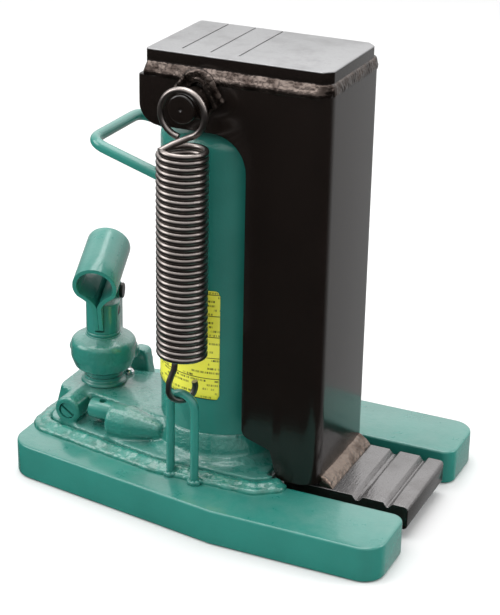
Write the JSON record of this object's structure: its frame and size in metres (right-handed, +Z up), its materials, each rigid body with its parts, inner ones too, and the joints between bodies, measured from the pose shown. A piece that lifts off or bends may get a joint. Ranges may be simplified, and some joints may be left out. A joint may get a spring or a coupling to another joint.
{
  "type": "hydraulic toe jack",
  "caption": "Hydraulic toe jack: slotted base, upright cylinder, lifting channel with a flat head and a low toe, side return springs and a swivelling hand pump.",
  "frame": {"origin": "on the floor, at the middle of the base plate's footprint", "axes": "+X towards the toe, +Z up, +Y to the left when looking along the toe"},
  "size_m": [0.244, 0.1686, 0.265],
  "materials": {
    "green_paint": "gloss",
    "black_paint": "gloss",
    "grey_plate": "satin",
    "bright_steel": "ground",
    "dark_steel": "blackened",
    "spring_steel": "oiled",
    "seal_rubber": "matte",
    "bronze": "satin",
    "label": "satin"
  },
  "bodies": {
    "base": {"base_plate": "green_paint", "base_casting": "green_paint", "base_weld": "green_paint", "jack_cylinder": "green_paint", "pressure_cylinder": "bright_steel", "cylinder_gland": "dark_steel", "wiper_seal": "seal_rubber", "guide_post": "green_paint", "data_label": "label", "carrying_handle": "green_paint", "pump_barrel": "green_paint", "plunger_seal": "seal_rubber", "suction_check_ball": "bright_steel", "delivery_check_ball": "bright_steel", "relief_valve_spring": "spring_steel", "relief_valve_ball": "bright_steel", "release_valve_ball": "bright_steel", "oil_filler_plug": "green_paint", "spring_anchor_near": "green_paint", "spring_anchor_far": "green_paint", "return_spring_near": "spring_steel", "return_spring_far": "spring_steel"},
    "lifting_frame": {"lifting_column": "black_paint", "head_plate": "grey_plate", "head_weld": "black_paint", "ram_saddle": "dark_steel", "toe_plate": "grey_plate", "toe_weld": "black_paint", "guide_shoe": "bronze", "ram": "bright_steel", "piston_seal": "seal_rubber", "piston_guide_ring": "bronze", "spring_pin_near": "black_paint", "spring_pin_far": "black_paint", "pin_weld_near": "black_paint", "pin_weld_far": "black_paint"},
    "pump_head": {"pump_swivel": "green_paint", "swivel_screw_1": "dark_steel", "swivel_screw_2": "dark_steel", "swivel_screw_3": "dark_steel", "fulcrum_pin": "dark_steel"},
    "lever": {"lever_socket": "green_paint"},
    "plunger": {"pump_plunger": "green_paint", "plunger_pin": "dark_steel"},
    "release_valve": {"release_valve": "green_paint"},
    "relief_screw": {"relief_valve_screw": "green_paint"}
  },
  "joints": [
    {"name": "lift", "type": "slide", "parent": "base", "child": "lifting_frame", "axis": [0, 0, 1], "range_m": [0, 0.115], "stiffness_N_per_m": 800, "springref_m": -0.05, "deforming": ["return_spring_near", "return_spring_far"]},
    {"name": "pump_swivel_turn", "type": "hinge", "parent": "base", "child": "pump_head", "pos_m": [-0.091, 0, 0.06], "axis": [0, 0, 1], "range_deg": [-241, 29]},
    {"name": "lever_stroke", "type": "hinge", "parent": "pump_head", "child": "lever", "pos_m": [-0.09555, 0.01586, 0.095], "axis": [-0.9613, -0.2756, 0], "range_deg": [0, 40]},
    {"name": "plunger_stroke", "type": "slide", "parent": "pump_head", "child": "plunger", "axis": [0, 0, 1], "range_m": [0, 0.0125]},
    {"name": "release_valve_turn", "type": "hinge", "parent": "base", "child": "release_valve", "pos_m": [-0.076, -0.028, 0.037], "axis": [1, 0, 0], "range_deg": [0, 180]},
    {"name": "relief_screw_turn", "type": "hinge", "parent": "base", "child": "relief_screw", "pos_m": [-0.097, -0.034, 0.035], "axis": [0, 1, 0], "range_deg": [-90, 90]}
  ],
  "couplings": [
    {"joint": "plunger_stroke", "follows": "lever_stroke", "m_per_rad": 0.0172}
  ]
}
